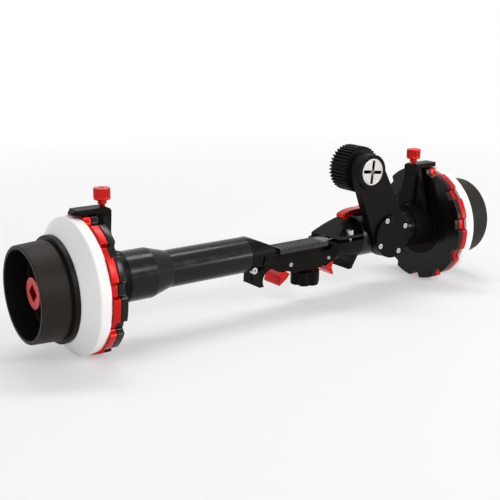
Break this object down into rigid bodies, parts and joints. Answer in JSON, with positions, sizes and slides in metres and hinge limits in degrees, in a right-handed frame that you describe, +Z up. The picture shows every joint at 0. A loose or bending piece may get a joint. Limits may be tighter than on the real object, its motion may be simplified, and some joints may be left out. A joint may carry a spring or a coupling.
{
  "type": "follow focus unit",
  "caption": "Follow focus on a rod bridge: hand wheels with white marking discs and lobed stop rings at both ends of a shaft, and a swinging gear arm.",
  "frame": {"origin": "midway between the centres of the two rod seats, on the shaft's vertical plane", "axes": "+X along the drive shaft towards the gear arm's end, -Y towards the operator, +Z up"},
  "size_m": [0.356, 0.0838, 0.1056],
  "materials": {
    "black_anodised": "satin black anodised",
    "grip_black": "fine ribbed satin",
    "rest_black": "ribbed matte",
    "red_anodised": "satin red anodised",
    "white_disc": "matte, takes a marker pen",
    "steel_fasteners": "bright turned",
    "steel_inner": "plain turned",
    "gear_black": "satin moulded"
  },
  "bodies": {
    "frame": {"extension_tube": "black_anodised", "bridge_body": "black_anodised", "collar_screw": "steel_fasteners", "barrel_screw": "steel_fasteners", "thumb_rest": "rest_black", "rest_screw": "steel_fasteners", "jaw_pins": "steel_inner", "lever_screw": "steel_fasteners", "gearbox_housing": "black_anodised", "gearbox_cap": "black_anodised", "gearbox_bearings": "steel_inner", "cross_bearing": "steel_inner", "pivot_ring": "steel_inner", "left_bracket": "black_anodised", "left_bracket_screws": "steel_fasteners", "left_bearing": "steel_inner", "right_bracket": "black_anodised", "right_bracket_screws": "steel_fasteners", "right_bearing": "steel_inner"},
    "drive_train": {"main_shaft": "steel_inner", "drive_bevel": "steel_inner", "left_grip": "grip_black", "left_socket": "red_anodised", "left_disc": "white_disc", "left_disc_screws": "steel_fasteners", "left_hub": "black_anodised", "left_retainer": "black_anodised", "right_grip": "grip_black", "right_socket": "red_anodised", "right_disc": "white_disc", "right_disc_screws": "steel_fasteners", "right_hub": "black_anodised", "right_retainer": "black_anodised"},
    "left_red_stop": {"left_red_ring": "red_anodised", "left_red_grub": "steel_fasteners"},
    "left_black_stop": {"left_black_ring": "black_anodised"},
    "left_index": {"left_pointer": "black_anodised"},
    "left_thumb": {"left_thumbscrew": "red_anodised"},
    "left_jaw_body": {"left_jaw": "red_anodised"},
    "right_red_stop": {"right_red_ring": "red_anodised", "right_red_grub": "steel_fasteners"},
    "right_black_stop": {"right_black_ring": "black_anodised"},
    "right_index": {"right_pointer": "black_anodised"},
    "right_thumb": {"right_thumbscrew": "red_anodised"},
    "right_jaw_body": {"right_jaw": "red_anodised"},
    "draw_bar_body": {"draw_bar": "steel_inner"},
    "knob_body": {"clamp_knob": "black_anodised"},
    "lever_body": {"lock_lever": "red_anodised"},
    "cross_body": {"cross_shaft": "steel_inner", "driven_bevel": "steel_inner"},
    "pinion_body": {"drive_pinion": "steel_inner"},
    "arm": {"arm_shell": "black_anodised", "arm_back": "black_anodised", "arm_cover": "black_anodised", "cover_screws": "steel_fasteners", "idler_pins": "steel_inner"},
    "near_gear": {"idler_near": "steel_inner"},
    "far_gear": {"idler_far": "steel_inner"},
    "spindle_body": {"spindle": "steel_fasteners", "lens_gear": "gear_black"}
  },
  "joints": [
    {"name": "main_spin", "type": "hinge", "parent": "frame", "child": "drive_train", "pos_m": [0, 0, 0.018], "axis": [1, 0, 0], "continuous": true},
    {"name": "left_red_turn", "type": "hinge", "parent": "drive_train", "child": "left_red_stop", "pos_m": [-0.1603, 0, 0.018], "axis": [1, 0, 0], "continuous": true},
    {"name": "left_black_turn", "type": "hinge", "parent": "drive_train", "child": "left_black_stop", "pos_m": [-0.1557, 0, 0.018], "axis": [1, 0, 0], "continuous": true},
    {"name": "left_pointer_swing", "type": "hinge", "parent": "frame", "child": "left_index", "pos_m": [-0.1468, 0, 0.0618], "axis": [0, 0, 1], "range_deg": [-90, 90]},
    {"name": "left_thumb_turn", "type": "hinge", "parent": "frame", "child": "left_thumb", "pos_m": [-0.1468, 0, 0.0665], "axis": [0, 0, 1], "range_deg": [0, 360]},
    {"name": "right_red_turn", "type": "hinge", "parent": "drive_train", "child": "right_red_stop", "pos_m": [0.1183, 0, 0.018], "axis": [1, 0, 0], "continuous": true},
    {"name": "right_black_turn", "type": "hinge", "parent": "drive_train", "child": "right_black_stop", "pos_m": [0.1137, 0, 0.018], "axis": [1, 0, 0], "continuous": true},
    {"name": "right_pointer_swing", "type": "hinge", "parent": "frame", "child": "right_index", "pos_m": [0.1048, 0, 0.0618], "axis": [0, 0, 1], "range_deg": [-90, 90]},
    {"name": "right_thumb_turn", "type": "hinge", "parent": "frame", "child": "right_thumb", "pos_m": [0.1048, 0, 0.0665], "axis": [0, 0, 1], "range_deg": [0, 360]},
    {"name": "clamp_turn", "type": "hinge", "parent": "frame", "child": "knob_body", "pos_m": [0.0052, 0, -0.004], "axis": [0, 0, -1], "range_deg": [0, 540]},
    {"name": "bar_lift", "type": "slide", "parent": "frame", "child": "draw_bar_body", "axis": [0, 0, 1], "range_m": [0, 0.00188]},
    {"name": "left_jaw_swing", "type": "hinge", "parent": "frame", "child": "left_jaw_body", "pos_m": [-0.0141, 0, 0.0079], "axis": [0, -1, 0], "range_deg": [0, 12]},
    {"name": "right_jaw_swing", "type": "hinge", "parent": "frame", "child": "right_jaw_body", "pos_m": [0.0188, 0, 0.0079], "axis": [0, 1, 0], "range_deg": [0, 12]},
    {"name": "lever_swing", "type": "hinge", "parent": "frame", "child": "lever_body", "pos_m": [0.0575, 0, 0.0338], "axis": [0, 0, -1], "range_deg": [0, 90]},
    {"name": "arm_swing", "type": "hinge", "parent": "frame", "child": "arm", "pos_m": [0.0683, 0, 0.018], "axis": [0, 1, 0], "range_deg": [0, 30]},
    {"name": "cross_spin", "type": "hinge", "parent": "frame", "child": "cross_body", "pos_m": [0.0683, -0.01, 0.018], "axis": [0, 1, 0], "continuous": true},
    {"name": "pinion_spin", "type": "hinge", "parent": "arm", "child": "pinion_body", "pos_m": [0.0683, 0, 0.018], "axis": [0, 1, 0], "continuous": true},
    {"name": "near_gear_spin", "type": "hinge", "parent": "arm", "child": "near_gear", "pos_m": [0.06081, 0, 0.03437], "axis": [0, 1, 0], "continuous": true},
    {"name": "far_gear_spin", "type": "hinge", "parent": "arm", "child": "far_gear", "pos_m": [0.05381, 0, 0.04964], "axis": [0, 1, 0], "continuous": true},
    {"name": "spindle_spin", "type": "hinge", "parent": "arm", "child": "spindle_body", "pos_m": [0.04632, 0, 0.06601], "axis": [0, 1, 0], "continuous": true}
  ],
  "couplings": [
    {"joint": "cross_spin", "follows": "main_spin", "ratio": 1},
    {"joint": "pinion_spin", "follows": "main_spin", "ratio": 1},
    {"joint": "near_gear_spin", "follows": "main_spin", "ratio": -1.1429},
    {"joint": "far_gear_spin", "follows": "main_spin", "ratio": 1.1429},
    {"joint": "spindle_spin", "follows": "main_spin", "ratio": -1},
    {"joint": "clamp_turn", "follows": "bar_lift", "rad_per_m": 5013.2},
    {"joint": "left_jaw_swing", "follows": "bar_lift", "rad_per_m": 111.4},
    {"joint": "right_jaw_swing", "follows": "bar_lift", "rad_per_m": 111.4}
  ]
}
